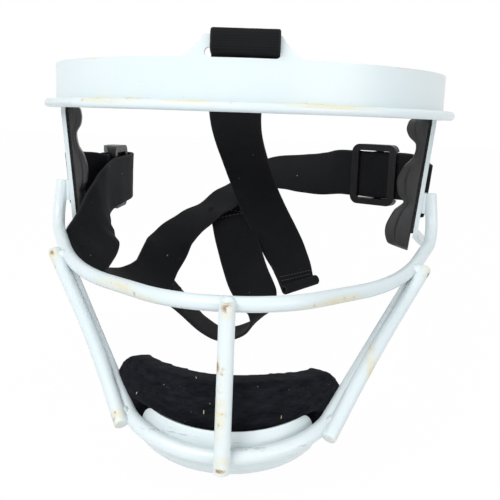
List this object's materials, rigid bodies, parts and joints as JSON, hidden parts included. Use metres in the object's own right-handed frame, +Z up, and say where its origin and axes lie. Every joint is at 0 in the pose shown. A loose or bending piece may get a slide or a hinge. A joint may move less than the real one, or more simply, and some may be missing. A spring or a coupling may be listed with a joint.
{
  "type": "face guard",
  "caption": "Wire face guard for softball fielders: coated steel band and cage with foam pads and elastic head straps on slide adjusters.",
  "frame": {"origin": "middle of the head between the side plates, level with the lower edge of the forehead band", "axes": "+Z up, +Y towards the back of the head, the way the head leaves, +X the wearer's left, which is the viewer's right"},
  "size_m": [0.1904, 0.2487, 0.1573],
  "materials": {
    "powder_coat": "smooth white powder coat, satin gloss, yellowed scuffs where it has rubbed",
    "moulded_foam": "moulded closed-cell foam skin, ribbed, dull",
    "brushed_pad": "brushed loop fabric over foam, with lint",
    "hook_tape": "black hook tape",
    "webbing": "woven elastic webbing, dull charcoal black",
    "buckle_plastic": "moulded black acetal, soft sheen"
  },
  "bodies": {
    "guard": {"forehead_band": "powder_coat", "right_side_plate": "powder_coat", "left_side_plate": "powder_coat", "mouth_bar": "powder_coat", "centre_rod": "powder_coat", "right_rod": "powder_coat", "left_rod": "powder_coat", "chin_bar": "powder_coat", "chin_plate": "powder_coat", "weld_beads": "powder_coat", "forehead_pad": "moulded_foam", "right_side_pad": "moulded_foam", "left_side_pad": "moulded_foam", "chin_pad": "brushed_pad", "forehead_hook_tape": "hook_tape", "right_hook_tape": "hook_tape", "left_hook_tape": "hook_tape", "chin_hook_tape": "hook_tape", "rear_strap": "webbing", "ponytail_strap": "webbing", "top_strap": "webbing"},
    "right_slider": {"right_adjuster": "buckle_plastic", "right_strap_end": "webbing"},
    "left_slider": {"left_adjuster": "buckle_plastic", "left_strap_end": "webbing"}
  },
  "joints": [
    {"name": "right_adjuster_slide", "type": "slide", "parent": "guard", "child": "right_slider", "axis": [0.8131, -0.5822, 0], "range_m": [-0.005, 0.005]},
    {"name": "left_adjuster_slide", "type": "slide", "parent": "guard", "child": "left_slider", "axis": [-0.03, -0.9996, 0], "range_m": [-0.005, 0.005]}
  ]
}
